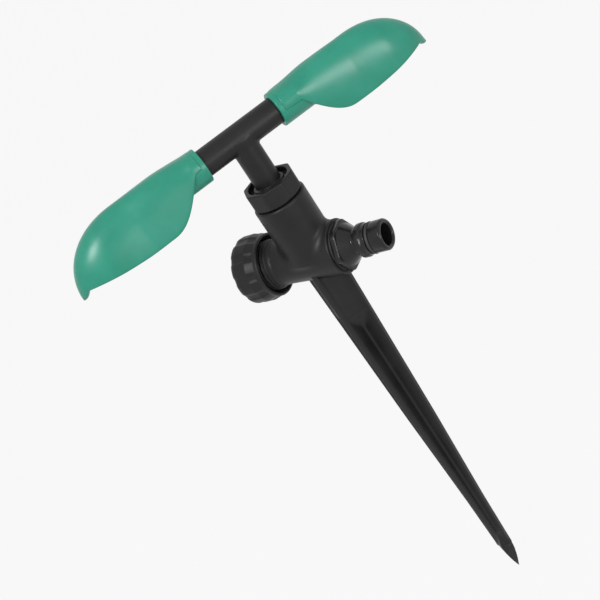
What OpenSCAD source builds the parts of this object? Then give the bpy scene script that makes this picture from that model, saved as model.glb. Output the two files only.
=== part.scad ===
// Two-arm rotary lawn sprinkler on a ground spike.
// Units are millimetres. +Z is up along the spike and the rotor's spin axis, with z = 0 at the spike's tip.
// +X points out of the hose nipple, and the screw cap closes the -X end of the barrel.

/* [Spike] */
// Height of the spike's top above its tip
spike_h = 235.7; // [227:0.1:237]
// Width across two opposite fins under the barrel
spike_w_top = 23.4; // [21:0.2:24]
// Width across two opposite fins a little over half way up
spike_w_mid = 16.8; // [14:0.2:18]
// Width across two opposite fins a quarter of the way up
spike_w_low = 10.8; // [9.6:0.2:12]
// Width across two opposite corners of the point
spike_w_point = 10; // [9:0.2:11]
// Thickness of each fin
fin_t = 3.2; // [2.6:0.1:4]
// Length of the solid arrow point
point_h = 23; // [20:0.5:26]
// Height at which the front and back fins end
short_fin_z = 34; // [31:0.5:38]

/* [Body] */
// Height of the barrel's axis
barrel_z = 247.6; // [246:0.1:249]
// Outer radius of the barrel beside the cap
barrel_r_cap = 11.6; // [11:0.1:12.2]
// Outer radius of the barrel at the inlet end
barrel_r_inlet = 14.1; // [13.8:0.1:15]
// Distance from the spin axis to the barrel's inlet face
inlet_face_x = 16.5; // [15.5:0.1:17]
// Outer radius of the neck
neck_r = 13.7; // [13.2:0.05:13.8]
// Height of the neck's shoulder
neck_top_z = 283.2; // [282:0.1:283.4]

/* [Screw cap] */
// Radius of the cap's open rim
cap_rim_r = 16.5; // [16.2:0.1:17.2]
// Radius over the cap's grips at mid length
cap_grip_r = 17.8; // [17.5:0.1:18.4]
// Distance from the spin axis to the rim
cap_rim_x = 24.7; // [24.4:0.1:25.2]
// Length of the cap
cap_len = 17.2; // [16.8:0.1:18]
// Number of finger grooves round the cap
cap_grooves = 10; // [8:1:14]

/* [Inlet nipple] */
// Distance from the spin axis to the nipple's mouth
nipple_x = 42.4; // [42:0.1:43.4]
// Radius of the nipple's plug, the size a snap connector takes
nipple_r = 7.85; // [7.7:0.05:8]
// Radius of the shoulder the connector's jaws hold
shoulder_r = 8.6; // [8.4:0.05:8.8]
// Radius of the waterway through the nipple
nipple_bore_r = 5.4; // [5:0.1:5.7]
// Width across the flats of the nipple's hexagon
hex_af = 23.4; // [22:0.2:24]

/* [Nut] */
// Width across the flats of the retaining nut
nut_af = 25.4; // [24.8:0.1:26]
// Height of the nut
nut_h = 10.2; // [10:0.1:11]

/* [Rotor] */
// Height of the arm tube's axis
arm_z = 319.3; // [316:0.1:323]
// Outer radius of the arm tube and of the stem
tube_r = 6.8; // [6.7:0.05:6.9]
// Direction of the right arm at rest, turned from +X
arm_turn = 47; // [0:1:90]
// Distance from the spin axis to the end of the arm tube
tube_half = 35; // [34:0.5:36]

/* [Scoops] */
// Distance from the spin axis to the collar's inner end
collar_s = 21.4; // [21:0.1:22]
// Outer radius of the collar
collar_r = 8.9; // [8.7:0.1:9.5]
// Distance from the spin axis to the scoop's beak
scoop_tip_s = 103; // [100:0.1:108]
// Half the scoop's greatest width
scoop_half_w = 12.8; // [11.5:0.1:14]
// Height of the crown over the arm's axis
scoop_crown = 10.6; // [10.2:0.1:12.5]
// Depth of the side walls under the arm's axis
scoop_depth = 16.8; // [15:0.2:19]
// Wall thickness
scoop_wall = 1.6; // [1.4:0.1:2]
// Turn of both scoops about the arm at rest
scoop_turn = 4; // [0:1:15]

/* [Hidden] */
$fn = 72;

// Fits
run_gap = 0.05;      // radial clearance of a running fit
seat_gap = 0.02;     // clearance between two pieces of the same body
part_gap = 0.3;      // clearance between pieces that move past each other
over = 1;            // how far a cutting shape runs past the face it cuts

black = [0.13, 0.13, 0.14];
green = [0.27, 0.62, 0.52];
rubber = [0.07, 0.07, 0.07];
acetal = [0.88, 0.87, 0.83];
steel = [0.7, 0.7, 0.72];

// Spike socket: the body's stub stands in the spike's hub
stub_r = 5.5;
stub_z = 220.7;
stub_len = 16.7;
hub_r = 8;
hub_z = 209.7;

// Waterways and spigots of the body
barrel_bore_r = 8.2;
spigot_x = 21.8;
spigot_r = 13.1;
spigot_end_x = 37.2;
cap_wall = 2.8;
inlet_socket_r = 10.5;
inlet_socket_x = 5;
inlet_washer_t = 0.8;
nipple_groove_x = 33.2;
nipple_groove_w = 2.5;
nipple_groove_r = 6.3;
neck_bore_r = 8.4;
neck_spigot_r = 10.4;
neck_spigot_z = 286.7;
neck_h = neck_spigot_z - barrel_z + over;

// Bush and the stack round the stem
bush_low_z = 269.7;
bush_flange_t = 1.2;
bush_groove_z = 277.7;
bush_groove_h = 2.4;
bush_groove_r = 7.75;
seal_t = 0.6;
nut_low_z = neck_top_z + 0.3;
lip_z = 288.9;
lip_t = 1.6;
recess_r = 10.8;
flange_r = 8.3;
flange_t = 1.5;
upper_washer_t = 0.5;
flange_z = lip_z + lip_t + seat_gap + upper_washer_t + 0.15;
stem_low_z = 262.7;
stem_bore_r = 4.4;
clip_z = 267.7;
clip_t = 1.2;
clip_groove_r = 5.8;
lower_washer_t = 0.5;

// Arms
tube_bore_r = 4.2;
bead_s = collar_s + 3.6;
bead_r = 7.15;
bead_w = 1.2;
ring_s = collar_s + 8.6;
ring_w = 2.3;
ring_groove_r = 5.0;
collar_len = 17;
nozzle_len = 7;
nozzle_r = 1.75;

// Stations of the scoop's shell
hood_s = collar_s + 3;
hood_n = 26;
arch_n = 18;

module ring(inner, outer, h) {
    difference() {
        cylinder(r = outer, h = h);
        translate([0, 0, -over]) cylinder(r = inner, h = h + 2 * over);
    }
}

// A round rubber ring about the Z axis, from its inner and outer radius
module o_ring(inner, outer) {
    wire_r = (outer - inner) / 2;
    rotate_extrude() translate([inner + wire_r, 0]) circle(r = wire_r, $fn = 32);
}

module along_x(x, z) {
    translate([x, 0, z]) rotate([0, 90, 0]) children();
}

module on_arm(side) {
    translate([0, 0, arm_z]) rotate([0, 0, arm_turn + (side > 0 ? 0 : 180)]) children();
}

// ---- Spike ----

// One pair of opposite fins, as an upright plate that widens in three stretches
module fin_pair(low_z, low_half) {
    quarter_z = 62;
    mid_z = 132;
    side = [[low_half, low_z], [spike_w_low / 2, quarter_z], [spike_w_mid / 2, mid_z],
        [spike_w_top / 2, spike_h]];
    rotate([90, 0, 0]) linear_extrude(height = fin_t, center = true)
        polygon(concat(side, [for (i = [3:-1:0]) [-side[i][0], side[i][1]]]));
}

// One of the two crossed blades whose overlap is the leaf-shaped, four-sided point
module point_blade() {
    half = spike_w_point / 2 / sqrt(2);
    shoulder_h = 9;
    top_half = 0.7;
    side = [[0, 0], [half * 0.41, point_h * 0.28], [half * 0.65, point_h * 0.48],
        [half * 0.9, point_h * 0.74], [half, point_h], [top_half, point_h + shoulder_h]];
    rotate([90, 0, 0]) linear_extrude(height = 2 * spike_w_point, center = true)
        polygon(concat(side, [for (i = [5:-1:1]) [-side[i][0], side[i][1]]]));
}

module spike() {
    fin_lap = 2;
    hub_cone_h = 12;
    fin_low_half = spike_w_low / 2 - 1.1;
    color(black) difference() {
        union() {
            fin_pair(point_h - fin_lap, fin_low_half);
            rotate([0, 0, 90]) fin_pair(short_fin_z, fin_low_half + 0.3);
            translate([0, 0, hub_z]) cylinder(r = hub_r, h = spike_h - hub_z);
            translate([0, 0, hub_z - hub_cone_h]) cylinder(r1 = fin_t, r2 = hub_r, h = hub_cone_h);
            intersection() {
                rotate([0, 0, 45]) point_blade();
                rotate([0, 0, 135]) point_blade();
            }
        }
        translate([0, 0, stub_z]) cylinder(r = stub_r + seat_gap, h = spike_h);
        // saddle for the underside of the barrel
        barrel_cone(seat_gap);
    }
}

// ---- Body ----

module barrel_cone(grow) {
    len = spigot_x + inlet_face_x;
    along_x(-spigot_x, barrel_z)
        cylinder(r1 = barrel_r_cap + grow, r2 = barrel_r_inlet + grow, h = len);
}

module neck_outside() {
    chamfer = 1.4;
    rotate_extrude() polygon([[0, barrel_z], [neck_r, barrel_z], [neck_r, neck_top_z - 2 * chamfer],
        [neck_r - chamfer / 2, neck_top_z], [neck_spigot_r, neck_top_z],
        [neck_spigot_r, neck_spigot_z], [0, neck_spigot_z]]);
}

module body() {
    color(black) difference() {
        union() {
            barrel_cone(0);
            along_x(-spigot_end_x, barrel_z) cylinder(r = spigot_r, h = spigot_end_x - spigot_x);
            neck_outside();
            translate([0, 0, stub_z + seat_gap]) cylinder(r = stub_r, h = stub_len);
        }
        along_x(-spigot_end_x - over, barrel_z)
            cylinder(r = barrel_bore_r, h = spigot_end_x + inlet_face_x + 2 * over);
        along_x(inlet_socket_x, barrel_z) cylinder(r = inlet_socket_r, h = inlet_face_x);
        translate([0, 0, barrel_z]) cylinder(r = neck_bore_r, h = neck_h);
    }
}

// ---- Screw cap ----

module cap_outside() {
    round_w = 4.2;
    rotate_extrude() polygon(concat([[0, 0], [cap_rim_r, 0], [cap_grip_r, cap_len * 0.4]],
        [for (a = [0:18:90]) [cap_grip_r - round_w + round_w * cos(a), cap_len - round_w + round_w * sin(a)]],
        [[0, cap_len]]));
}

module end_cap() {
    groove_r = 4;
    groove_depth = 0.55;
    rim_w = 1.6;
    bore_r = spigot_r + 0.1;
    bore_len = cap_len - cap_wall;
    lead_r = cap_rim_r - 1.2;
    lead_len = 3;
    color(black) translate([-cap_rim_x, 0, barrel_z]) rotate([0, -90, 0]) difference() {
        union() {
            difference() {
                cap_outside();
                for (i = [0:cap_grooves - 1])
                    rotate([0, 0, (i + 0.5) * 360 / cap_grooves])
                        translate([cap_grip_r + groove_r - groove_depth, 0, -over])
                            cylinder(r = groove_r, h = cap_len + 2 * over);
            }
            cylinder(r = cap_rim_r, h = rim_w);
        }
        // bore with a wide lead-in at the rim
        rotate_extrude() polygon([[0, -over], [lead_r, -over], [lead_r, 0], [bore_r, lead_len],
            [bore_r, bore_len], [0, bore_len]]);
    }
}

module cap_washer() {
    inner_r = 9;
    face_x = cap_rim_x + cap_len - cap_wall - seat_gap;
    color(rubber) along_x(-face_x, barrel_z) ring(inner_r, spigot_r - 0.1, face_x - spigot_end_x - 0.15);
}

// ---- Inlet connector ----

module inlet_connector() {
    hex_x = inlet_face_x + inlet_washer_t;
    hex_w = 3;
    hex_corner_r = 12.9;
    cone_r = 11;
    cone_end_x = hex_x + hex_w + 5.3;
    waist_r = 6.7;
    waist_w = 2.4;
    shoulder_x = cone_end_x + waist_w;
    shoulder_w = 2.6;
    lead = 0.9;
    mouth_w = 0.7;
    tail_x = inlet_socket_x + 0.5;
    color(black) along_x(0, barrel_z) difference() {
        union() {
            // hexagon, its corners rounded off by a coaxial disc
            intersection() {
                translate([0, 0, hex_x]) cylinder(r = hex_af / sqrt(3), h = hex_w, $fn = 6);
                translate([0, 0, hex_x]) cylinder(r = hex_corner_r, h = hex_w);
            }
            rotate_extrude() polygon([[0, tail_x], [inlet_socket_r - seat_gap, tail_x],
                [inlet_socket_r - seat_gap, hex_x + seat_gap], [cone_r, hex_x + seat_gap],
                [cone_r, hex_x + hex_w], [waist_r, cone_end_x], [waist_r, shoulder_x],
                [shoulder_r, shoulder_x], [shoulder_r, shoulder_x + shoulder_w],
                [nipple_r, shoulder_x + shoulder_w + 0.6],
                [nipple_r, nipple_groove_x], [nipple_groove_r, nipple_groove_x],
                [nipple_groove_r, nipple_groove_x + nipple_groove_w],
                [nipple_r, nipple_groove_x + nipple_groove_w],
                [nipple_r, nipple_x - lead], [nipple_r - lead, nipple_x], [0, nipple_x]]);
        }
        translate([0, 0, -over]) cylinder(r = nipple_bore_r, h = nipple_x + 2 * over);
        translate([0, 0, nipple_x - mouth_w])
            cylinder(r1 = nipple_bore_r, r2 = nipple_bore_r + 2 * mouth_w, h = 2 * mouth_w);
    }
}

module inlet_washer() {
    color(rubber) along_x(inlet_face_x + seat_gap, barrel_z)
        ring(inlet_socket_r + seat_gap, 12.2, inlet_washer_t - 2 * seat_gap);
}

module nipple_o_ring() {
    color(rubber) along_x(nipple_groove_x + nipple_groove_w / 2, barrel_z)
        o_ring(nipple_groove_r + seat_gap, nipple_r + 0.2);
}

// ---- Retaining nut and bearing ----

module retaining_nut() {
    skirt_r = neck_spigot_r + seat_gap;
    nut_turn = 12;
    corner_r = 13.6;
    stem_hole_r = tube_r + part_gap;
    color(black) difference() {
        translate([0, 0, nut_low_z]) intersection() {
            rotate([0, 0, nut_turn]) cylinder(r = nut_af / 2 / cos(22.5), h = nut_h, $fn = 8);
            rotate_extrude() polygon([[0, 0], [corner_r - 1.1, 0], [corner_r, 1.4], [corner_r, nut_h - 0.5],
                [corner_r - 0.4, nut_h], [0, nut_h]]);
        }
        translate([0, 0, nut_low_z - over]) cylinder(r = skirt_r, h = lip_z - nut_low_z + over);
        translate([0, 0, lip_z - over]) cylinder(r = stem_hole_r, h = nut_h);
        translate([0, 0, lip_z + lip_t]) cylinder(r = recess_r, h = nut_h);
    }
}

module bearing_bush() {
    bush_r = neck_bore_r - seat_gap;
    color(acetal) difference() {
        union() {
            translate([0, 0, bush_low_z]) cylinder(r = bush_r, h = neck_spigot_z + seal_t - bush_low_z);
            translate([0, 0, neck_spigot_z + seal_t]) cylinder(r = neck_spigot_r - 0.2, h = bush_flange_t);
        }
        translate([0, 0, bush_low_z - over]) cylinder(r = tube_r + run_gap, h = neck_h);
        translate([0, 0, bush_groove_z]) cylinder(r = bush_groove_r, h = bush_groove_h);
    }
}

module bush_seal() {
    color(rubber) translate([0, 0, neck_spigot_z + seat_gap])
        ring(neck_bore_r + seat_gap, neck_spigot_r - 0.1, seal_t - 2 * seat_gap);
}

module stem_o_ring() {
    color(rubber) translate([0, 0, bush_groove_z + bush_groove_h / 2])
        o_ring(tube_r + 0.04, bush_groove_r - seat_gap);
}

module upper_thrust_washer() {
    color(black) translate([0, 0, lip_z + lip_t + seat_gap])
        ring(tube_r + part_gap, flange_r + 0.6, upper_washer_t);
}

module lower_thrust_washer() {
    color(acetal) translate([0, 0, bush_low_z - seat_gap - lower_washer_t])
        ring(tube_r + 0.1, neck_bore_r - 0.2, lower_washer_t);
}

module stem_clip() {
    gap_deg = 50;
    outer_r = neck_bore_r - 0.5;
    reach = 2 * outer_r;
    color(steel) translate([0, 0, clip_z]) difference() {
        ring(clip_groove_r + seat_gap, outer_r, clip_t);
        linear_extrude(height = 3 * clip_t, center = true)
            polygon([[0, 0], [reach, reach * tan(gap_deg / 2)], [reach, -reach * tan(gap_deg / 2)]]);
    }
}

// ---- Rotor ----

module arm_outside() {
    rotate_extrude() polygon([[0, 0], [tube_r, 0], [tube_r, bead_s - bead_w / 2],
        [bead_r, bead_s - bead_w / 4], [bead_r, bead_s + bead_w / 4], [tube_r, bead_s + bead_w / 2],
        [tube_r, ring_s - ring_w / 2], [ring_groove_r, ring_s - ring_w / 2],
        [ring_groove_r, ring_s + ring_w / 2], [tube_r, ring_s + ring_w / 2],
        [tube_r, tube_half - 0.5], [tube_r - 0.5, tube_half], [0, tube_half]]);
}

module arm_tee() {
    color(black) difference() {
        union() {
            translate([0, 0, stem_low_z]) cylinder(r = tube_r, h = arm_z - stem_low_z);
            translate([0, 0, flange_z]) cylinder(r = flange_r, h = flange_t);
            for (side = [1, -1]) on_arm(side) rotate([0, 90, 0]) arm_outside();
        }
        translate([0, 0, stem_low_z - over]) cylinder(r = stem_bore_r, h = arm_z - stem_low_z + over);
        on_arm(1) translate([-tube_half - over, 0, 0]) rotate([0, 90, 0])
            cylinder(r = tube_bore_r, h = 2 * (tube_half + over));
        translate([0, 0, clip_z - seat_gap]) ring(clip_groove_r, tube_r + over, clip_t + 2 * seat_gap);
    }
}

module nozzle(side) {
    shank_r = tube_bore_r - seat_gap;
    head_r = 6.1;
    color(black) on_arm(side) rotate([0, 90, 0]) difference() {
        union() {
            translate([0, 0, tube_half - nozzle_len]) cylinder(r = shank_r, h = nozzle_len + 1);
            translate([0, 0, tube_half + seat_gap]) cylinder(r = head_r, h = 1.5);
        }
        translate([0, 0, tube_half - nozzle_len - over]) cylinder(r = nozzle_r, h = 2 * nozzle_len);
        translate([0, 0, tube_half - nozzle_len - 0.1])
            cylinder(r1 = shank_r - 0.8, r2 = nozzle_r, h = nozzle_len - 1);
    }
}

module arm_ring(side) {
    color(rubber) on_arm(side) rotate([0, 90, 0]) translate([0, 0, ring_s])
        o_ring(ring_groove_r + 0.02, tube_r + 0.01);
}

// ---- Scoops ----

function smooth(t) = let (c = max(0, min(1, t))) c * c * (3 - 2 * c);

// The crown falls over the last part of the hood, and the plan narrows over a shorter one
toe_len = 35.8;
toe_curve = 2.1;
plan_len = 24;
plan_curve = 1.8;
tip_z = -19.8;
beak_len = 5;
beak_drop = 4;
toe_rise = 3.6;
heel_r = collar_r + 0.05;
heel_len = 22;
side_heel_r = collar_r + 0.3;
side_len = 66;
collar_step = 0.6;
edge_top_z = 1;
edge_starts = [3.4, 8.4];
edge_lens = [24.4, 22.4];
rise_s = 60;
function part_way(s, from, len) = max(0, min(1, (s - from) / len));
function toe_fall(s, len, curve) = pow(1 - pow(part_way(s, scoop_tip_s - len, len), curve), 1 / curve);
function crown_z(s) = tip_z + (heel_r + (scoop_crown - heel_r) * smooth((s - hood_s) / heel_len) - tip_z)
    * toe_fall(s, toe_len, toe_curve);
// How much squarer and wider the hood is round the collar's end, 0 to 1
square_len = 38;
function over_collar(s) = sin(180 * part_way(s, hood_s, square_len));
function half_w(s) = (side_heel_r + (scoop_half_w - side_heel_r) * smooth((s - hood_s) / side_len)
    + collar_step * over_collar(s)) * toe_fall(s, plan_len, plan_curve);
// Lower edge of one side wall, 0 on the side that drops first and 1 on the other
function edge_z(s, side) = edge_top_z
    - (scoop_depth + edge_top_z) * sin(90 * part_way(s, hood_s + edge_starts[side], edge_lens[side]))
    + toe_rise * smooth((s - rise_s) / (scoop_tip_s - rise_s))
    - beak_drop * smooth((s - scoop_tip_s + beak_len) / beak_len);

// Outline of one cross-section: a superellipse arch standing on the side walls' lower edges
// that is squarer over the collar's end, which it has to clear, than at the heel and over the toe
collar_curve = 2.5;
arch_curve = 2.1;
toe_half_w = 2;
toe_h = 1.9;
function arch(s, grow) =
    let (b = max(toe_half_w, half_w(s)) + grow,
        power = 2 / (arch_curve + (collar_curve - arch_curve) * over_collar(s)))
    [for (j = [0:arch_n]) let (a = 180 * j / arch_n, e = edge_z(s, 2 * j < arch_n ? 0 : 1),
            h = max(toe_h, crown_z(s) - e) + grow)
        [b * sign(cos(a)) * pow(abs(cos(a)), power), e + h * pow(abs(sin(a)), power)]];

module hood_shell() {
    last_s = scoop_tip_s - 0.3;
    stations = [for (i = [0:hood_n]) let (t = i / hood_n) hood_s + (last_s - hood_s) * (1 - pow(1 - t, 1.4))];
    shrink = (last_s - scoop_wall * 1.4 - hood_s) / (last_s - hood_s);
    row = arch_n + 1;
    outer = [for (s = stations) for (p = arch(s, 0)) [s, p[0], p[1]]];
    inner = [for (s = stations) for (p = arch(s, -scoop_wall)) [hood_s + (s - hood_s) * shrink, p[0], p[1]]];
    n = len(outer);
    skin = [for (i = [0:hood_n - 1]) for (j = [0:arch_n - 1])
        [i * row + j, (i + 1) * row + j, (i + 1) * row + j + 1, i * row + j + 1]];
    lining = [for (f = skin) [n + f[3], n + f[2], n + f[1], n + f[0]]];
    rim = [for (i = [0:hood_n - 1]) for (j = [0, arch_n])
        j == 0 ? [i * row, n + i * row, n + (i + 1) * row, (i + 1) * row]
               : [(i + 1) * row + j, n + (i + 1) * row + j, n + i * row + j, i * row + j]];
    ends = [for (j = [0:arch_n - 1]) for (i = [0, hood_n])
        i == 0 ? [j, j + 1, n + j + 1, n + j]
               : [i * row + j + 1, i * row + j, n + i * row + j, n + i * row + j + 1]];
    polyhedron(points = concat(outer, inner), faces = concat(skin, lining, rim, ends), convexity = 4);
}

module scoop(side) {
    bead_gap = 0.2;
    bead_fit = 0.06;
    color(green) on_arm(side) rotate([scoop_turn, 0, 0]) difference() {
        union() {
            hood_shell();
            translate([collar_s, 0, 0]) rotate([0, 90, 0]) cylinder(r = collar_r, h = collar_len);
        }
        translate([collar_s - over, 0, 0]) rotate([0, 90, 0])
            cylinder(r = tube_r + run_gap, h = collar_len + 2 * over);
        translate([bead_s - bead_w / 2 - bead_gap, 0, 0]) rotate([0, 90, 0])
            cylinder(r = bead_r + bead_fit, h = bead_w + 2 * bead_gap);
    }
}

spike();
body();
inlet_connector();
inlet_washer();
nipple_o_ring();
end_cap();
cap_washer();
retaining_nut();
bearing_bush();
bush_seal();
stem_o_ring();
upper_thrust_washer();
lower_thrust_washer();
stem_clip();
arm_tee();
nozzle(1);  // nozzle_right
nozzle(-1);  // nozzle_left
arm_ring(1);  // arm_ring_right
arm_ring(-1);  // arm_ring_left
scoop(1);  // scoop_right
scoop(-1);  // scoop_left
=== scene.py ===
# Looks of the two-arm rotary lawn sprinkler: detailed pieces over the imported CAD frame.
# Shapes are made in millimetres in the CAD frame, and new_mesh() turns them into metres.
# Materials, camera, floor and lamps are in metres.
import math

import bmesh
import bpy
import numpy as np
from mathutils import Matrix, Vector


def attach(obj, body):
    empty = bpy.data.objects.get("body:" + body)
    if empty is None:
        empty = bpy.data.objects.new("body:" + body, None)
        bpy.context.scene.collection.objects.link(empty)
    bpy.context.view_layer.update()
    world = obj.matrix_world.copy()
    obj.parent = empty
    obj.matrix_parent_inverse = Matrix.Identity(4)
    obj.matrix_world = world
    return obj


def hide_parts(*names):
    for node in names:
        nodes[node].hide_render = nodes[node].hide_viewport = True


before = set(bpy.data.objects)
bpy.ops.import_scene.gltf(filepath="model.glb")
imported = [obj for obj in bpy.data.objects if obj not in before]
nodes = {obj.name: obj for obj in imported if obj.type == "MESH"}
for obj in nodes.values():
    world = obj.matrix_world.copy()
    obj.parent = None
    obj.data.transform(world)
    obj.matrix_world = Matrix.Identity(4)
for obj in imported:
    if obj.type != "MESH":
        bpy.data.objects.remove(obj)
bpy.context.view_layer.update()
MM = 0.001

# ---------------------------------------------------------------- sizes, as in the CAD

# Ground spike. An outline is (height above the tip, half width) from the tip up.
SPIKE_H = 235.7
SPIKE_TIP_Z = 0.1  # the very tip is blunt
POINT_H = 23.0  # the point's widest place
POINT_OUTLINE = ((0, 0), (6.4, 2.05), (11.0, 3.25), (17.0, 4.5), (POINT_H, 5.0), (32.0, 1.0))
LONG_FIN_Z = POINT_H - 2
SHORT_FIN_Z = 34.0
FIN_OUTLINE = ((21, 4.3), (62, 5.4), (132, 8.4), (SPIKE_H, 11.7))
FIN_T = 3.2
FIN_BELLY = 0.25  # what each face of a fin gains towards its middle
HUB_R = 8.0
HUB_Z = 209.7  # the hub has its full radius from here up
HUB_TAPER = 14.0
HUB_DROP = 11.0  # how far down the taper is kept
HUB_LEAST = 0.15  # the taper's least radius, as a share of HUB_R
BARREL_SINK = 0.4  # the spike's top is cut off this far inside the barrel's surface

# Body: a tapered barrel along x and a neck along z.
BARREL_Z = 247.6
BARREL_R_CAP = 11.6
BARREL_R_INLET = 14.1
BARREL_BORE_R = 8.2
INLET_X = 16.5
INLET_SOCKET_R = 10.5
INLET_SOCKET_X = 5
NECK_R = 13.7
NECK_TOP_Z = 283.2
NECK_BORE_R = 8.4
NECK_SPIGOT_R = 10.4
NECK_SPIGOT_Z = 286.7
SPIGOT_X = 21.8
SPIGOT_END_X = 37.2
SPIGOT_R = 13.1
THREAD_ROOT_R = SPIGOT_R - 1.05
THREAD_PITCH = 1.814
THREAD_LEAD = 1.4  # length over which the thread fades out at each end
OVERLAP = 2  # how far joined solids reach into each other
PAST = 5  # how far a cut runs past the face that it opens

# Screw cap. Its side is an outline of (height above the rim, radius).
CAP_RIM_X = 24.7
CAP_RIM_R = 16.5
CAP_GRIP_R = 17.8
CAP_LEN = 17.2
CAP_SIDE = ((0, CAP_RIM_R - 0.45), (0.5, CAP_RIM_R), (1.6, CAP_RIM_R), (2.2, CAP_RIM_R + 0.05),
            (6.9, CAP_GRIP_R), (13.0, CAP_GRIP_R), (14.6, CAP_GRIP_R - 0.35), (15.9, CAP_GRIP_R - 1.3),
            (16.8, CAP_GRIP_R - 2.7), (CAP_LEN, CAP_GRIP_R - 4.2))
# its closed end, a slightly crowned disc inside a shallow step: (share of the end's radius, lift)
CAP_END = ((0.94, 0.0), (0.90, -0.12), (0.87, -0.45), (0.84, -0.55), (0.6, -0.5), (0.3, -0.42), (0.0, -0.4))
CAP_GROOVES = 10
CAP_GROOVE_DEPTH = 0.55
CAP_GROOVE_LAND = 0.45  # share of the wave left round between grooves
CAP_GROOVE_H = 1.5
CAP_GROOVE_FADE = 1.4
CAP_TURN = 9  # degrees from a groove to the mesh's first point
CAP_BORE_R = 13.2
CAP_WALL = 2.8
CAP_LEAD_R = CAP_RIM_R - 1.2  # the bore's mouth
CAP_LEAD_LEN = 3

# Inlet connector: x of its steps from the inside out.
PLUG_X = 5.5
PLUG_R = 10.48
HEX_X = 17.3
HEX_W = 3.0
HEX_HALF_AF = 11.7
HEX_CORNER_R = 12.9
HEX_BORE_R = 9.5
CONE_R = 11.0
CONE_END_X = 25.6
WAIST_R = 6.7
SHOULDER_X = 28.0
SHOULDER_W = 2.6
SHOULDER_R = 8.6
SHOULDER_SLOPE = 0.6
GROOVE_X = 33.2
GROOVE_W = 2.5
GROOVE_R = 6.3
NIPPLE_X = 42.4
NIPPLE_R = 7.85
NIPPLE_BORE_R = 5.4
SKIN = 0.05  # keeps two faces that would coincide apart

# Retaining nut.
NUT_Z = 283.5
NUT_H = 10.2
NUT_HALF_AF = 25.4 / 2
NUT_CORNER_R = 13.6
NUT_CHAMFER = 1.3
NUT_TURN = 34.5  # direction of its first flat, in degrees
NUT_FIT_R = 10.42  # round the neck's spigot
NUT_BORE_R = 7.1
LIP_Z = 288.9
LIP_T = 1.6
RECESS_R = 10.8

# Rotor: a stem along z and arms across it, with distances along an arm from the stem's axis.
ARM_Z = 319.3
ARM_TURN = 47.0  # of the arms from x, in degrees
TUBE_R = 6.8
TUBE_HALF = 35.0
TUBE_BORE_R = 4.2
STEM_BORE_R = 4.4
STEM_LOW_Z = 262.7
FLANGE_Z = 291.17
FLANGE_R = 8.3
FLANGE_T = 1.5
CLIP_Z = 267.7 + 0.6  # middle of its groove
CLIP_GROOVE_R = 5.8
CLIP_GROOVE_HALF = 0.62
BEAD_S = 25.0  # a bead on the arm snaps into the scoop's collar
BEAD_H = 0.35
BEAD_HALF = 0.6
RING_S = 30.0
RING_GROOVE_R = 5.0
RING_GROOVE_HALF = 1.15
JET_R = 1.75
JET_CORE_R = 4.18
JET_HEAD_R = 6.1
JET_IN_S = 28.0
JET_HEAD_S = TUBE_HALF + 0.02
JET_OUT_S = 36.5

# Scoops: s runs along the arm, y across it and z up from it.
SCOOP_TURN = 4.0  # about the arm, in degrees
SCOOP_TIP_S = 102.96
SCOOP_TIP_Z = -19.8
SCOOP_HALF_W = 12.75
SCOOP_CROWN = 10.55
SCOOP_DEPTH = 16.8
SCOOP_WALL = 1.6
COLLAR_S = 21.4
COLLAR_R = 8.9
COLLAR_LEN = 17.0
COLLAR_BORE_R = TUBE_R + SKIN
HOOD_S = COLLAR_S + 3
HEEL_EDGE_Z = 1  # height of the lower edges where the hood starts
HEEL_RISE = 0.03  # of the hood's crown over the collar
HEEL_STEP = 0.32  # of the hood's sides beyond the collar
CROWN_SWELL = 22  # length over which the crown climbs from the collar
SIDE_SWELL = 66  # and over which the sides widen
BULGE = 0.6  # extra half width round the collar's end
BULGE_LEN = 38
COLLAR_CURVE = 2.5  # the arch's superellipse power there
ARCH_CURVE = 2.1  # and elsewhere
CROWN_TOE = (35.8, 2.1)  # length and superellipse power of the crown's fall to the tip
SIDE_TOE = (24, 1.8)  # and of the sides' closing there
FALLING_SIDE = (3.4, 24.4)  # start and length of the fall of the lower edge that leaves the collar first
LATE_SIDE = (8.4, 22.4)  # and of the other
RISE_S = 60.0  # from here to the tip the lower edges rise again
TOE_RISE = 3.6
BEAK_LEN = 5.0
BEAK_DROP = 4.0

# ---------------------------------------------------------------- materials

MIX_FACTOR, MIX_A, MIX_B, MIX_OUT = 0, 6, 7, 2  # the Mix node's sockets for colours


def material(name, color, rough, build=None, **inputs):
    """A Principled material. build(tree, shader) adds its procedural detail."""
    mat = bpy.data.materials.new(name)
    mat.use_nodes = True
    tree = mat.node_tree
    shader = tree.nodes["Principled BSDF"]
    shader.inputs["Base Color"].default_value = (*color, 1)
    shader.inputs["Roughness"].default_value = rough
    for key, value in inputs.items():
        shader.inputs[key.replace("_", " ")].default_value = value
    if build:
        build(tree, shader)
    return mat


def noise(tree, scale, detail, rough=0.55, stretch=(1, 1, 1)):
    """Object-space noise of so many cells to the metre."""
    where = tree.nodes.new("ShaderNodeTexCoord")
    mapping = tree.nodes.new("ShaderNodeMapping")
    mapping.inputs["Scale"].default_value = stretch
    tex = tree.nodes.new("ShaderNodeTexNoise")
    tex.inputs["Scale"].default_value = scale
    tex.inputs["Detail"].default_value = detail
    tex.inputs["Roughness"].default_value = rough
    tree.links.new(where.outputs["Object"], mapping.inputs["Vector"])
    tree.links.new(mapping.outputs["Vector"], tex.inputs["Vector"])
    return tex.outputs["Fac"]


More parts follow.
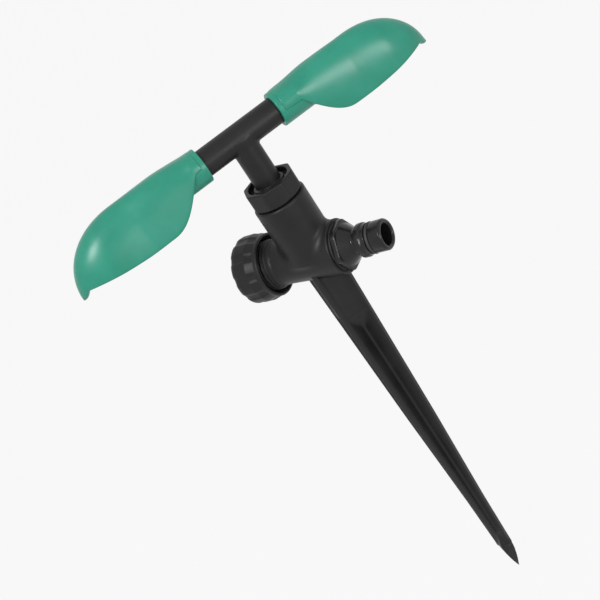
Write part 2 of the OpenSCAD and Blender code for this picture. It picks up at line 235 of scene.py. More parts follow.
def ramp(tree, source, low, high, at=(0.3, 0.7)):
    """Maps source values from at[0] to at[1] onto the numbers low to high."""
    node = tree.nodes.new("ShaderNodeMapRange")
    node.inputs["From Min"].default_value, node.inputs["From Max"].default_value = at
    node.inputs["To Min"].default_value, node.inputs["To Max"].default_value = low, high
    tree.links.new(source, node.inputs["Value"])
    return node.outputs["Result"]


def tint(tree, source, low, high):
    """Maps a noise onto the colours low to high."""
    mix = tree.nodes.new("ShaderNodeMix")
    mix.data_type = "RGBA"
    mix.inputs[MIX_A].default_value = (*low, 1)
    mix.inputs[MIX_B].default_value = (*high, 1)
    tree.links.new(ramp(tree, source, 0, 1), mix.inputs[MIX_FACTOR])
    return mix.outputs[MIX_OUT]


def bumps(tree, shader, *layers):
    """Stacks bump layers of (height source, distance in metres, strength)."""
    last = None
    for source, distance, strength in layers:
        bump = tree.nodes.new("ShaderNodeBump")
        bump.inputs["Distance"].default_value = distance
        bump.inputs["Strength"].default_value = strength
        tree.links.new(source, bump.inputs["Height"])
        if last is not None:
            tree.links.new(last.outputs["Normal"], bump.inputs["Normal"])
        last = bump
    tree.links.new(last.outputs["Normal"], shader.inputs["Normal"])


def moulded(tones, roughs, grain, depth, wear=0.05):
    """Moulded plastic or rubber: cloudy tone and sheen, a slight waviness, a fine spark-eroded grain of
    so many cells to the metre and so deep, and faint handling marks that add up to wear to the roughness."""
    def build(tree, shader):
        cloud = noise(tree, scale=70, detail=3)
        fine = noise(tree, scale=grain, detail=2)
        marks = noise(tree, scale=420, detail=5, rough=0.7, stretch=(1, 1, 0.12))
        waves = noise(tree, scale=45, detail=2)
        tree.links.new(tint(tree, cloud, *tones), shader.inputs["Base Color"])
        add = tree.nodes.new("ShaderNodeMath")
        tree.links.new(ramp(tree, cloud, *roughs), add.inputs[0])
        tree.links.new(ramp(tree, marks, 0.0, wear, at=(0.5, 0.85)), add.inputs[1])
        tree.links.new(add.outputs[0], shader.inputs["Roughness"])
        bumps(tree, shader, (waves, 0.0012, 0.10), (fine, depth, 0.30))
    return build


def brushed(tree, shader):
    """Drawn steel wire: fine lines round the piece."""
    lines = noise(tree, scale=900, detail=3, rough=0.6, stretch=(0.05, 0.05, 1))
    tree.links.new(tint(tree, lines, (0.52, 0.52, 0.53), (0.66, 0.66, 0.67)), shader.inputs["Base Color"])
    tree.links.new(ramp(tree, lines, 0.22, 0.42), shader.inputs["Roughness"])
    bumps(tree, shader, (lines, 0.00004, 0.2))


BLACK_TONES = ((0.0060, 0.0060, 0.0066), (0.0090, 0.0090, 0.0098))
BLACK = material("black_plastic", (0.010, 0.010, 0.011), 0.42,
                 moulded(BLACK_TONES, (0.36, 0.48), grain=3200, depth=0.00006),
                 Specular_IOR_Level=0.22)
BLACK_SMOOTH = material("black_plastic_smooth", (0.010, 0.010, 0.011), 0.30,
                        moulded(BLACK_TONES, (0.18, 0.26), grain=3600, depth=0.00003),
                        Specular_IOR_Level=0.28)
GREEN_TONES = ((0.009, 0.153, 0.101), (0.014, 0.176, 0.120))
GREEN = material("green_plastic", (0.05, 0.33, 0.22), 0.34,
                 moulded(GREEN_TONES, (0.29, 0.36), grain=1900, depth=0.000015, wear=0.01),
                 Specular_IOR_Level=0.33, Subsurface_Weight=0.12, Subsurface_Scale=0.002)
RUBBER = material("black_rubber", (0.011, 0.011, 0.011), 0.6,
                  moulded(((0.009, 0.009, 0.009), (0.014, 0.014, 0.014)), (0.55, 0.7),
                          grain=4200, depth=0.00008))
ACETAL = material("white_acetal", (0.72, 0.70, 0.64), 0.3,
                  moulded(((0.68, 0.66, 0.60), (0.76, 0.74, 0.69)), (0.26, 0.38),
                          grain=2600, depth=0.00004))
STEEL = material("spring_steel", (0.6, 0.6, 0.61), 0.3, brushed, Metallic=1.0)

# ---------------------------------------------------------------- mesh helpers

WELD = 2e-6  # in metres
SMOOTH_ANGLE = math.radians(40)


def new_mesh(name, verts, faces, mat, body, replaced=()):
    """A piece from vertices in millimetres, riding on a CAD body."""
    mesh = bpy.data.meshes.new(name)
    mesh.from_pydata((np.asarray(verts, float) * MM).tolist(), [], [list(map(int, f)) for f in faces])
    mesh.validate()
    obj = bpy.data.objects.new(name, mesh)
    bpy.context.scene.collection.objects.link(obj)
    bm = bmesh.new()
    bm.from_mesh(mesh)
    bmesh.ops.remove_doubles(bm, verts=bm.verts, dist=WELD)
    bmesh.ops.recalc_face_normals(bm, faces=bm.faces)
    bm.to_mesh(mesh)
    bm.free()
    mesh.materials.append(mat)
    mesh.polygons.foreach_set("use_smooth", [True] * len(mesh.polygons))
    mesh.set_sharp_from_angle(angle=SMOOTH_ANGLE)
    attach(obj, body)
    if replaced:
        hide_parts(*replaced)


def rounded(points, segments=5):
    """A closed outline from (a, b, radius) corners, each corner turned into an arc."""
    out = []
    for i, (a, b, r) in enumerate(points):
        here = np.array([a, b], float)
        if r <= 0:
            out.append(here)
            continue
        before = np.array(points[i - 1][:2], float) - here
        after = np.array(points[(i + 1) % len(points)][:2], float) - here
        before_len = np.linalg.norm(before)
        after_len = np.linalg.norm(after)
        before, after = before / before_len, after / after_len
        half = math.acos(max(-1.0, min(1.0, float(before @ after)))) / 2
        # a corner's arc takes at most half of each side
        cut = min(r / math.tan(half), 0.49 * before_len, 0.49 * after_len)
        radius = cut * math.tan(half)
        middle = (before + after) / np.linalg.norm(before + after)
        centre = here + middle * radius / math.sin(half)
        start = here + before * cut - centre
        stop = here + after * cut - centre
        first = math.atan2(start[1], start[0])
        turn = (math.atan2(stop[1], stop[0]) - first + math.pi) % (2 * math.pi) - math.pi
        for k in range(segments + 1):
            angle = first + turn * k / segments
            out.append(centre + radius * np.array([math.cos(angle), math.sin(angle)]))
    return np.array(out)


def place(points, where):
    """Carries points from a local frame, its three axes as columns and its origin, to the CAD frame."""
    columns, origin = where
    return np.asarray(points) @ columns.T + origin


def skin(rows, size, closed=True):
    """Quads between rows of points, each a ring of size points. closed joins the last row to the first."""
    faces = []
    for i in range(rows if closed else rows - 1):
        here, there = i * size, (i + 1) % rows * size
        for j in range(size):
            k = (j + 1) % size
            faces.append((here + j, here + k, there + k, there + j))
    return faces


def revolve(outline, where, segments):
    """Vertices and faces of a closed (radius, height) outline turned about the local z axis."""
    angles = np.linspace(0, 2 * math.pi, segments, endpoint=False)
    r, h = outline.T
    verts = np.stack([np.outer(np.cos(angles), r), np.outer(np.sin(angles), r),
                      np.outer(np.ones(segments), h)], -1).reshape(-1, 3)
    return place(verts, where), skin(segments, len(outline))


def along_outline(h, outline):
    """The second value of an outline of pairs, where the first is h."""
    heights, values = zip(*outline)
    return np.interp(h, heights, values)


def smooth01(t):
    """A smooth step from 0 at t = 0 to 1 at t = 1."""
    c = np.clip(t, 0, 1)
    return c * c * (3 - 2 * c)


def arm_frame(side, roll=0.0):
    """Local x along the arm, outwards; z up, rolled about the arm by roll degrees."""
    a = math.radians(ARM_TURN + (0 if side > 0 else 180))
    along = np.array([math.cos(a), math.sin(a), 0])
    across = np.array([-math.sin(a), math.cos(a), 0])
    up = np.array([0, 0, 1.0])
    c, s = math.cos(math.radians(roll)), math.sin(math.radians(roll))
    return np.stack([along, c * across + s * up, -s * across + c * up], 1), np.array([0, 0, ARM_Z])


def axle(where):
    """The same frame with its x axis renamed z, to revolve about."""
    columns, origin = where
    return np.stack([columns[:, 1], columns[:, 2], columns[:, 0]], 1), origin


# Frames for pieces round the barrel: local z runs along x, or along -x.
ALONG_X = (np.array([[0, 0, 1], [1, 0, 0], [0, 1, 0]], float), np.array([0, 0, BARREL_Z]))
ALONG_MINUS_X = (np.array([[0, 0, -1], [-1, 0, 0], [0, 1, 0]], float), np.array([0, 0, BARREL_Z]))
FROM_CAP_RIM = (np.array([[0, 0, -1], [0, 1, 0], [1, 0, 0]], float), np.array([-CAP_RIM_X, 0, BARREL_Z]))

# ---------------------------------------------------------------- shapes as signed distances

# Distances are in millimetres and negative inside.
SLANT = 0.7  # turns the sum of two distances at right angles into about one distance
POINT_SLANT = 0.66  # the same for the spike's point, whose faces also lean
GRID = 0.42  # cell size for the larger pieces
PULLS = 4  # Newton steps
PROBE = 0.05
LONGEST_PULL = 0.25
LEAST_SLOPE = 0.05  # square of the slope


def smooth_min(a, b, blend):
    """Joins two solids, with a fillet of about blend between them."""
    h = np.clip(0.5 + 0.5 * (b - a) / blend, 0, 1)
    return b + (a - b) * h - blend * h * (1 - h)


def smooth_max(a, b, blend):
    """Keeps what two solids share, with the edge between them rounded."""
    return -smooth_min(-a, -b, blend)


def capped(radial, along, edge):
    """A solid from its radial and axial distances, with its edge rounded."""
    u, v = radial + edge, along + edge
    return np.hypot(np.maximum(u, 0), np.maximum(v, 0)) + np.minimum(np.maximum(u, v), 0) - edge


def drum(rho, t, radius, low, high, edge):
    """A cylinder between low and high along its axis."""
    return capped(rho - radius, np.maximum(low - t, t - high), edge)


def across_flats(u, v, directions):
    """How far out a point lies, measured square to the nearest of a nut's flats. They face these ways,
    in degrees, and the opposite ways."""
    return np.max([np.abs(u * math.cos(a) + v * math.sin(a)) for a in np.radians(directions)], axis=0)


def steps(low, high, size):
    """Grid lines from low to high, about size apart."""
    return np.linspace(low, high, int(round((high - low) / size)) + 1)


def surface_net(f, xs, ys, zs):
    """Vertices and quads on f = 0: dual points of a grid, pulled onto the surface by Newton steps.
    xs, ys and zs are the grid's lines, which just cover the piece."""
    grid = np.meshgrid(xs, ys, zs, indexing="ij")
    value = f(*grid)
    inside = value < 0
    shape = tuple(n - 1 for n in value.shape)
    total, count = np.zeros(shape + (3,)), np.zeros(shape)
    crossings = []
    for axis in range(3):
        lo = [slice(None)] * 3
        hi = [slice(None)] * 3
        lo[axis], hi[axis] = slice(0, -1), slice(1, None)
        cross = np.argwhere(inside[tuple(lo)] != inside[tuple(hi)])
        step = np.zeros(3, int)
        step[axis] = 1
        i, j = tuple(cross.T), tuple((cross + step).T)
        t = value[i] / (value[i] - value[j])
        point = np.stack([g[i] + (g[j] - g[i]) * t for g in grid], -1)
        crossings.append((axis, cross, inside[i]))
        others = [k for k in range(3) if k != axis]
        for da in (0, 1):
            for db in (0, 1):
                cell = cross.copy()
                cell[:, others[0]] -= da
                cell[:, others[1]] -= db
                ok = np.all((cell >= 0) & (cell < shape), axis=1)
                c = tuple(cell[ok].T)
                np.add.at(total, c, point[ok])
                np.add.at(count, c, 1)
    used = count > 0
    index = -np.ones(shape, int)
    index[used] = np.arange(used.sum())
    verts = total[used] / count[used][:, None]
    faces = []
    for axis, cross, inner in crossings:
        a, b = [k for k in range(3) if k != axis]
        ring = []
        for da, db in ((0, 0), (1, 0), (1, 1), (0, 1)):
            cell = cross.copy()
            cell[:, a] -= da
            cell[:, b] -= db
            ring.append(cell)
        ok = np.all([np.all((c >= 0) & (c < shape), axis=1) for c in ring], axis=0)
        quad = np.stack([index[tuple(c[ok].T)] for c in ring], 1)
        flip = inner[ok] if axis != 1 else ~inner[ok]
        quad[flip] = quad[flip][:, ::-1]
        faces.append(quad)
    h = PROBE
    for _ in range(PULLS):
        x, y, z = verts.T
        d = f(x, y, z)
        slope = np.stack([f(x + h, y, z) - f(x - h, y, z), f(x, y + h, z) - f(x, y - h, z),
                          f(x, y, z + h) - f(x, y, z - h)], -1) / (2 * h)
        move = slope * (d / np.maximum((slope ** 2).sum(1), LEAST_SLOPE))[:, None]
        size = np.linalg.norm(move, axis=1, keepdims=True)
        verts = verts - move * np.minimum(1, LONGEST_PULL / np.maximum(size, 1e-9))
    return verts, np.concatenate(faces)


# ---------------------------------------------------------------- spike


def barrel_radius(x):
    """Radius of the tapered barrel at x."""
    return BARREL_R_CAP + (BARREL_R_INLET - BARREL_R_CAP) * (x + SPIGOT_X) / (SPIGOT_X + INLET_X)


def spike_shape(x, y, z):
    """Two crossed blades on a square point, with a round hub at the top."""
    half = along_outline(z, FIN_OUTLINE)

    def fins_across(u, v, low):
        thick = FIN_T / 2 + FIN_BELLY * np.clip(1 - np.abs(u) / half, 0, 1)
        blade = capped(np.abs(v) - thick, np.abs(u) - half, edge=0.55)
        return smooth_max(blade, low - z, blend=0.8)

    fins = smooth_min(fins_across(x, y, LONG_FIN_Z), fins_across(y, x, SHORT_FIN_Z), blend=1.5)
    # the point is square, with its corners on the fins
    width = along_outline(z, POINT_OUTLINE)
    point = smooth_max((np.abs(x) + np.abs(y) - width) * POINT_SLANT, SPIKE_TIP_Z - z, blend=0.3)
    hub_r = HUB_R * np.clip((z - HUB_Z + HUB_TAPER) / HUB_TAPER, HUB_LEAST, 1)
    hub_end = np.maximum(HUB_Z - HUB_DROP - z, z - SPIKE_H - 2 * OVERLAP)
    hub = capped(np.hypot(x, y) - hub_r, hub_end, edge=0.8)
    out = smooth_min(smooth_min(fins, hub, blend=3.0), point, blend=0.9)
    # the top follows the barrel's underside
    barrel = np.hypot(y, z - BARREL_Z) - barrel_radius(x)
    return smooth_max(out, -(barrel + BARREL_SINK), blend=0.5)


# the blades between point and hub are nearly straight, so the grid is coarse there
spike_z = np.concatenate([steps(-0.6, 36, GRID)[:-1], steps(36, 194, 2.0)[:-1], steps(194, 216, 0.7)[:-1],
                          steps(216, 248, 0.6)])
verts, faces = surface_net(spike_shape, steps(-12.6, 12.6, GRID), steps(-12.6, 12.6, GRID), spike_z)
new_mesh("ground_spike", verts, faces, BLACK, "base", ["spike"])

# ---------------------------------------------------------------- body


def body_shape(x, y, z):
    """Barrel, neck and their two spigots, bored through."""
    rho_x = np.hypot(y, z - BARREL_Z)
    rho_z = np.hypot(x, y)
    barrel = capped(rho_x - barrel_radius(x), np.maximum(-SPIGOT_X - x, x - INLET_X), edge=0.5)
    neck = capped(rho_z - NECK_R, np.maximum(BARREL_Z + OVERLAP - z, z - NECK_TOP_Z), edge=1.1)
    out = smooth_min(barrel, neck, blend=3.2)
    neck_spigot = drum(rho_z, z, NECK_SPIGOT_R, NECK_TOP_Z - OVERLAP, NECK_SPIGOT_Z, edge=0.3)
    cap_spigot = drum(rho_x, x, THREAD_ROOT_R + SKIN, -SPIGOT_END_X, -SPIGOT_X + OVERLAP, edge=0.5)
    out = np.minimum(np.minimum(out, neck_spigot), cap_spigot)
    # bores
    socket = drum(rho_x, x, INLET_SOCKET_R, INLET_SOCKET_X, INLET_X + PAST, edge=0.2)
    neck_bore = drum(rho_z, z, NECK_BORE_R, BARREL_Z, NECK_SPIGOT_Z + PAST, edge=0.2)
    out = smooth_max(out, -(rho_x - BARREL_BORE_R), blend=0.4)
    out = smooth_max(out, -socket, blend=0.3)
    return smooth_max(out, -neck_bore, blend=0.3)


verts, faces = surface_net(body_shape, steps(-38, 17.2, GRID), steps(-14.8, 14.8, GRID),
                           steps(232.4, 287.6, GRID))
new_mesh("body_shell", verts, faces, BLACK, "base", ["body"])


def build_thread():
    """The spigot's helical thread, as a skin over a cylinder. It fades out at both ends."""
    segments, rows_per_turn, back = 160, 14, 0.8
    low, high = SPIGOT_X + 0.6, SPIGOT_END_X - 0.3
    rows = int((high - low) / THREAD_PITCH * rows_per_turn)
    heights = np.linspace(low, high, rows)
    angles = np.linspace(0, 2 * math.pi, segments, endpoint=False)
    h, a = np.meshgrid(heights, angles, indexing="ij")
    phase = (h / THREAD_PITCH - a / (2 * math.pi)) % 1.0
    # steep flanks, with a flat crest and a flat root
    flank, root = 4, 0.55
    crest = np.clip((0.5 - np.abs(phase - 0.5)) * flank - root, 0, 1)
    fade = np.clip((h - low) / THREAD_LEAD, 0, 1) * np.clip((high - h) / THREAD_LEAD, 0, 1)
    r = THREAD_ROOT_R + (SPIGOT_R - THREAD_ROOT_R) * crest * fade
    outside = np.stack([r * np.cos(a), r * np.sin(a), h], -1)
    # two more rows close the skin behind its surface
    inner_r = THREAD_ROOT_R - back
    ends = [-1, 0]
    inside = np.stack([inner_r * np.cos(a[ends]), inner_r * np.sin(a[ends]), h[ends]], -1)
    verts = np.concatenate([outside.reshape(-1, 3), inside.reshape(-1, 3)])
    return place(verts, ALONG_MINUS_X), skin(rows + len(ends), segments)


verts, faces = build_thread()
new_mesh("spigot_thread", verts, faces, BLACK, "base")

# ---------------------------------------------------------------- screw cap


def cap_radius(h, angle):
    """Outer radius of the cap at height h above its rim."""
    wave = 0.5 + 0.5 * np.cos(angle * CAP_GROOVES)
    groove = smooth01((wave - CAP_GROOVE_LAND) / (1 - CAP_GROOVE_LAND))
    fade = smooth01((h - CAP_GROOVE_H) / CAP_GROOVE_FADE)
    return along_outline(h, CAP_SIDE) - CAP_GROOVE_DEPTH * groove * fade


def build_cap():
    """The cap as one closed skin: its side, its closed end and its bore."""
    segments = 360
    angles = np.linspace(0, 2 * math.pi, segments, endpoint=False) + math.radians(CAP_TURN)
    rim_h, wall_h = 2.4, 13
    heights = np.concatenate([np.linspace(0, rim_h, 13)[:-1], np.linspace(rim_h, wall_h, 30)[:-1],
                              np.linspace(wall_h, CAP_LEN, 22)])
    rows = [(cap_radius(h, angles), h) for h in heights]
    end = cap_radius(CAP_LEN, angles)
    rows += [(end * share, CAP_LEN + lift) for share, lift in CAP_END]
    # the bore, from its floor back to the rim
    depth = CAP_LEN - CAP_WALL
    corner = 0.5
    bore = [(0.0, depth), (6.0, depth), (CAP_BORE_R - corner, depth), (CAP_BORE_R, depth - corner)]
    bore += [(CAP_BORE_R, h) for h in np.linspace(depth - 2 * corner, CAP_LEAD_LEN, 8)]
    bore += [(CAP_LEAD_R - 0.1, 0.3), (CAP_LEAD_R + 0.1, 0.0)]
    rows += [(np.full(segments, r), h) for r, h in bore]
    verts = [np.stack([r * np.cos(angles), r * np.sin(angles), np.full(segments, h)], 1) for r, h in rows]
    return place(np.concatenate(verts), FROM_CAP_RIM), skin(len(rows), segments)


verts, faces = build_cap()
new_mesh("screw_cap", verts, faces, BLACK, "cap", ["end_cap"])

# ---------------------------------------------------------------- inlet connector

connector = rounded([
    (NIPPLE_BORE_R, PLUG_X, 0.3), (PLUG_R, PLUG_X, 0.4), (PLUG_R, HEX_X + SKIN, 0), (CONE_R, HEX_X + SKIN, 0),
    (CONE_R, HEX_X + HEX_W, 0.3), (WAIST_R, CONE_END_X, 1.0), (WAIST_R, SHOULDER_X, 0.5),
    (SHOULDER_R, SHOULDER_X, 0.45), (SHOULDER_R, SHOULDER_X + SHOULDER_W, 0.4),
    (NIPPLE_R, SHOULDER_X + SHOULDER_W + SHOULDER_SLOPE, 0.3), (NIPPLE_R, GROOVE_X, 0.2),
    (GROOVE_R, GROOVE_X, 0.2), (GROOVE_R, GROOVE_X + GROOVE_W, 0.2), (NIPPLE_R, GROOVE_X + GROOVE_W, 0.2),
    (NIPPLE_R, NIPPLE_X - 0.9, 0.5), (NIPPLE_R - 0.75, NIPPLE_X, 0.5), (NIPPLE_BORE_R + 0.6, NIPPLE_X, 0.35),
    (NIPPLE_BORE_R, NIPPLE_X - 0.7, 0.4)])
verts, faces = revolve(connector, ALONG_X, 144)
new_mesh("hose_nipple", verts, faces, BLACK_SMOOTH, "base", ["inlet_connector"])


def hex_collar(x, y, z):
    """The connector's hexagon, with its corners turned down."""
    t, v = x - HEX_X, z - BARREL_Z
    rho = np.hypot(y, v)
    flats = smooth_max(across_flats(y, v, [30, 90, 150]) - HEX_HALF_AF, rho - HEX_CORNER_R, blend=0.5)
    slab = np.maximum(-t, t - HEX_W)
    return smooth_max(smooth_max(flats, slab, blend=0.7), -(rho - HEX_BORE_R), blend=0.3)


verts, faces = surface_net(hex_collar, steps(16.9, 20.9, 0.3), steps(-13.5, 13.5, 0.36),
                           steps(234.1, 261.1, 0.36))
new_mesh("nipple_hexagon", verts, faces, BLACK_SMOOTH, "base")

# ---------------------------------------------------------------- retaining nut


def nut_shape(x, y, z):
    """An octagon, chamfered below, with a bore, a socket for the neck and a recess in its top."""
    t = z - NUT_Z
    rho = np.hypot(x, y)
    flats = across_flats(x, y, NUT_TURN + np.arange(4) * 45)
    outer = smooth_max(flats - NUT_HALF_AF, rho - NUT_CORNER_R, blend=0.6)
    outer = smooth_max(outer, (rho - NUT_CORNER_R + NUT_CHAMFER) * SLANT - t * SLANT, blend=0.4)
    out = smooth_max(outer, np.maximum(-t, t - NUT_H), blend=0.55)
    out = smooth_max(out, -drum(rho, z, NUT_FIT_R, NUT_Z - PAST, LIP_Z, edge=0.2), blend=0.3)
    out = smooth_max(out, -(rho - NUT_BORE_R), blend=0.3)
    recess = drum(rho, z, RECESS_R, LIP_Z + LIP_T, NUT_Z + NUT_H + PAST, edge=0.3)
    return smooth_max(out, -recess, blend=0.45)


verts, faces = surface_net(nut_shape, steps(-14.1, 14.1, 0.3), steps(-14.1, 14.1, 0.3),
                           steps(282.9, 294.3, 0.28))
new_mesh("octagon_nut", verts, faces, BLACK, "base", ["retaining_nut"])

# ---------------------------------------------------------------- rotor


def tee_shape(x, y, z):
    """In the arm's own frame: x along the right arm, z up from the arm's axis."""
    rho_z, rho_x, s = np.hypot(x, y), np.hypot(y, z), np.abs(x)
    stem = drum(rho_z, z, TUBE_R, STEM_LOW_Z - ARM_Z, 0, edge=0.5)
    bead = BEAD_H * np.clip(1 - np.abs(s - BEAD_S) / BEAD_HALF, 0, 1)
    arms = capped(rho_x - TUBE_R - bead, s - TUBE_HALF, edge=0.5)
    out = smooth_min(stem, arms, blend=1.6)
    flange = drum(rho_z, z, FLANGE_R, FLANGE_Z - ARM_Z, FLANGE_Z + FLANGE_T - ARM_Z, edge=0.4)
    out = smooth_min(out, flange, blend=0.5)
    # each arm's ring groove, the clip's groove and the bores
    ring_groove = np.maximum(RING_GROOVE_R - rho_x, np.abs(s - RING_S) - RING_GROOVE_HALF)
    out = smooth_max(out, -ring_groove, blend=0.15)
    clip_groove = np.maximum(CLIP_GROOVE_R - rho_z, np.abs(z - (CLIP_Z - ARM_Z)) - CLIP_GROOVE_HALF)
    out = smooth_max(out, -clip_groove, blend=0.15)
    out = smooth_max(out, -(rho_x - TUBE_BORE_R), blend=0.3)
    return smooth_max(out, -np.maximum(rho_z - STEM_BORE_R, z), blend=0.3)


verts, faces = surface_net(tee_shape, steps(-35.8, 35.8, 0.4), steps(-9, 9, 0.4),
                           steps(STEM_LOW_Z - 0.8 - ARM_Z, 8.0, 0.4))
new_mesh("rotor_tee", place(verts, arm_frame(1)), faces, BLACK, "rotor", ["arm_tee"])

jet = rounded([
    (JET_R, JET_OUT_S - 1.1, 0.2), (3.2, JET_IN_S, 0.3), (JET_CORE_R, JET_IN_S, 0.2),
    (JET_CORE_R, JET_HEAD_S, 0), (JET_HEAD_R, JET_HEAD_S, 0.2), (JET_HEAD_R, JET_OUT_S, 0.4),
    (2.6, JET_OUT_S, 0.3), (JET_R, JET_OUT_S - 0.6, 0.2)])
for side, word in ((1, "right"), (-1, "left")):
    verts, faces = revolve(jet, axle(arm_frame(side)), 96)
    new_mesh("jet_" + word, verts, faces, BLACK_SMOOTH, "rotor", ["nozzle_" + word])

# ---------------------------------------------------------------- scoops

ACROSS = np.linspace(0, math.pi, 81)  # angles of the points across the hood
LIP_POINTS = 6  # points round each lower edge of the wall
LIP_DROP = 0.8  # how far a lower edge hangs down, as a share of half the wall
LEAST_HALF_W = 2.0  # the arch doesn't shrink below this at the tip
LEAST_H = 1.9


def toe_fall(s, length, curve):
    """1 up to length before the tip, then a superellipse down to 0 at the tip."""
    t = np.clip((s - (SCOOP_TIP_S - length)) / length, 0, 1)
    return (1 - t ** curve) ** (1 / curve)


def crown_z(s):
    """Height of the hood's crown."""
    heel = COLLAR_R + HEEL_RISE
    top = heel + (SCOOP_CROWN - heel) * smooth01((s - HOOD_S) / CROWN_SWELL)
    return SCOOP_TIP_Z + (top - SCOOP_TIP_Z) * toe_fall(s, *CROWN_TOE)


def over_collar(s):
    """How much squarer and wider the hood is round the collar's end, 0 to 1."""
    return math.sin(math.pi * min(1, max(0, (s - HOOD_S) / BULGE_LEN)))


def half_w(s):
    """Half the hood's outer width."""
    heel = COLLAR_R + HEEL_STEP
    width = heel + (SCOOP_HALF_W - heel) * smooth01((s - HOOD_S) / SIDE_SWELL) + BULGE * over_collar(s)
    return width * toe_fall(s, *SIDE_TOE)


def edge_z(s, start, length):
    """Height of a side wall's lower edge."""
    fall = (SCOOP_DEPTH + HEEL_EDGE_Z) * math.sin(math.pi / 2 * min(1, max(0, (s - HOOD_S - start) / length)))
    rise = TOE_RISE * smooth01((s - RISE_S) / (SCOOP_TIP_S - RISE_S))
    beak = BEAK_DROP * smooth01((s - SCOOP_TIP_S + BEAK_LEN) / BEAK_LEN)
    return HEEL_EDGE_Z - fall + rise - beak


def arch(s, grow):
    """Points across the hood at station s: a superellipse arch, moved out by grow."""
    c, q = np.cos(ACROSS), np.sin(ACROSS)
    b = np.maximum(LEAST_HALF_W, half_w(s)) + grow
    e = np.where(c > 0, edge_z(s, *FALLING_SIDE), edge_z(s, *LATE_SIDE))
    h = np.maximum(LEAST_H, crown_z(s) - e) + grow
    power = 2 / (ARCH_CURVE + (COLLAR_CURVE - ARCH_CURVE) * over_collar(s))
    return b * np.sign(c) * np.abs(c) ** power, e + h * np.abs(q) ** power


def lip(start, stop, z, drop):
    """The rounded lower edge of the wall, from one (s, y) to another."""
    points = []
    for a in np.linspace(0, math.pi, LIP_POINTS + 2)[1:-1]:
        k = 0.5 - 0.5 * math.cos(a)
        points.append((start[0] + (stop[0] - start[0]) * k, start[1] + (stop[1] - start[1]) * k,
                       z - drop * math.sin(a)))
    return points


def build_hood():
    """A shell with a rounded rim: each station is one closed ring round the wall."""
    toe_flat, toe_wall, crowding = 0.3, SCOOP_WALL * 1.4, 1.5
    last = SCOOP_TIP_S - toe_flat
    # the inner skin's stations are drawn in, which leaves the toe its thickness
    shrink = (last - toe_wall - HOOD_S) / (last - HOOD_S)
    # stations crowd together towards the toe
    stations = HOOD_S + (last - HOOD_S) * (1 - (1 - np.linspace(0, 1, 111)) ** crowding)

    def ring(s, grow_out, grow_in, shift=0.0):
        outer_y, outer_z = arch(s, grow_out)
        inner_y, inner_z = arch(s, grow_in)
        outer_s, inner_s = s + shift, HOOD_S + (s - HOOD_S) * shrink + shift
        drop = (grow_out - grow_in) / 2 * LIP_DROP
        outer = [(outer_s, y, z) for y, z in zip(outer_y, outer_z)]
        inner = [(inner_s, y, z) for y, z in zip(inner_y[::-1], inner_z[::-1])]
        left = lip((outer_s, outer_y[-1]), (inner_s, inner_y[-1]), outer_z[-1], drop)
        right = lip((inner_s, inner_y[0]), (outer_s, outer_y[0]), outer_z[0], drop)
        return outer + left + inner + right

    # the hood's start over the collar is rounded
    start_r = 0.5
    rings = []
    for a in np.radians((0, 20, 45, 70)):
        rings.append(ring(HOOD_S, -start_r * (1 - math.sin(a)), -SCOOP_WALL + 0.1, -start_r * math.cos(a)))
    rings += [ring(s, 0.0, -SCOOP_WALL) for s in stations]
    size, m = len(rings[0]), len(ACROSS)
    faces = skin(len(rings), size, closed=False)
    # close both ends across the wall
    for base, flip in ((0, False), ((len(rings) - 1) * size, True)):
        loop = list(range(base, base + size))
        outer, inner = loop[:m], loop[m + LIP_POINTS:2 * m + LIP_POINTS][::-1]
        ends = [(outer[j], outer[j + 1], inner[j + 1], inner[j]) for j in range(m - 1)]
        ends.append((outer[-1], *loop[m:m + LIP_POINTS], inner[-1]))
        ends.append((inner[0], *loop[2 * m + LIP_POINTS:], outer[0]))
        faces += [face[::-1] if flip else face for face in ends]
    return np.array(rings).reshape(-1, 3), faces


hood_verts, hood_faces = build_hood()
collar = rounded([
    (COLLAR_BORE_R, COLLAR_S, 0.25), (COLLAR_R, COLLAR_S, 0.45), (COLLAR_R, COLLAR_S + COLLAR_LEN, 0.4),
    (COLLAR_BORE_R, COLLAR_S + COLLAR_LEN, 0.25)])
for side, word in ((1, "right"), (-1, "left")):
    where = arm_frame(side, SCOOP_TURN)
    body = word + "_deflector"
    verts = place(hood_verts, where)
    new_mesh("hood_" + word, verts, hood_faces, GREEN, body, ["scoop_" + word])
    verts, faces = revolve(collar, axle(where), 112)
    new_mesh("collar_" + word, verts, faces, GREEN, body)

# ---------------------------------------------------------------- CAD nodes that stay

CAD_MATERIALS = {
    "inlet_washer": RUBBER, "nipple_o_ring": RUBBER, "cap_washer": RUBBER, "bush_seal": RUBBER,
    "stem_o_ring": RUBBER, "arm_ring_right": RUBBER, "arm_ring_left": RUBBER, "bearing_bush": ACETAL,
    "lower_thrust_washer": ACETAL, "upper_thrust_washer": BLACK_SMOOTH, "stem_clip": STEEL}
for name, mat in CAD_MATERIALS.items():
    for slot in nodes[name].material_slots:
        slot.link = "OBJECT"
        slot.material = mat

# ---------------------------------------------------------------- camera, as in the photograph

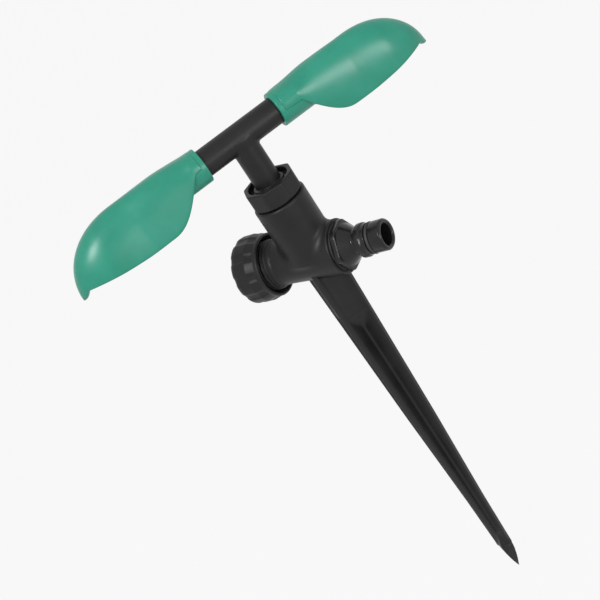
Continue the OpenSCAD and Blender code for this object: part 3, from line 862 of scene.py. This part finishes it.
CAMERA_AT = (0.301334, -0.398950, 0.489887)
AZIMUTH = 0.6852  # to the right of -y, in radians
ELEVATION = 0.4786
ROLL = math.radians(34.247)
back = Vector((math.sin(AZIMUTH) * math.cos(ELEVATION), -math.cos(AZIMUTH) * math.cos(ELEVATION),
               math.sin(ELEVATION)))
level = Vector((math.cos(AZIMUTH), math.sin(AZIMUTH), 0))
upward = back.cross(level)
cam_x = math.cos(ROLL) * level - math.sin(ROLL) * upward
cam_y = math.sin(ROLL) * level + math.cos(ROLL) * upward
cam_data = bpy.data.cameras.new("camera")
cam_data.sensor_width = 36
cam_data.lens = 67.185
cam_data.clip_start = 0.01
cam = bpy.data.objects.new("camera", cam_data)
bpy.context.scene.collection.objects.link(cam)
cam.matrix_world = Matrix.Translation(CAMERA_AT) @ Matrix((cam_x, cam_y, back)).transposed().to_4x4()
bpy.context.scene.camera = cam

# ---------------------------------------------------------------- stage and light

# A white tent: floor and world glow almost alike, so that the floor's far edge doesn't show.
FLOOR_R = 7.0
FLOOR_Z = -0.002
FLOOR = material("pale_floor", (0.01, 0.01, 0.01), 0.9, Emission_Color=(1, 1, 1, 1),
                 Emission_Strength=0.925, Specular_IOR_Level=0.0)
floor_mesh = bpy.data.meshes.new("floor")
bm = bmesh.new()
bmesh.ops.create_circle(bm, cap_ends=True, segments=96, radius=FLOOR_R)
bm.to_mesh(floor_mesh)
bm.free()
floor_mesh.materials.append(FLOOR)
floor = bpy.data.objects.new("floor", floor_mesh)
floor.location = (0, 0, FLOOR_Z)
bpy.context.scene.collection.objects.link(floor)


def lamp(name, where, size, power):
    """A square area lamp, aimed at the sprinkler's head."""
    head = Vector((0, 0, 0.25))
    data = bpy.data.lights.new(name, "AREA")
    data.shape = "RECTANGLE"
    data.size = data.size_y = size
    data.energy = power
    obj = bpy.data.objects.new(name, data)
    obj.location = where
    obj.rotation_mode = "QUATERNION"
    obj.rotation_quaternion = (head - Vector(where)).to_track_quat("-Z", "Y")
    bpy.context.scene.collection.objects.link(obj)


lamp("key", (0.06, -1.0, 1.15), size=0.35, power=14)
lamp("right", (1.0, -0.40, 0.42), size=0.3, power=4.6)

world = bpy.data.worlds.new("studio")
bpy.context.scene.world = world
world.use_nodes = True
background = world.node_tree.nodes["Background"]
background.inputs["Color"].default_value = (1, 1, 1, 1)
background.inputs["Strength"].default_value = 0.92

bpy.context.scene.view_settings.view_transform = "Standard"
bpy.context.scene.view_settings.look = "None"
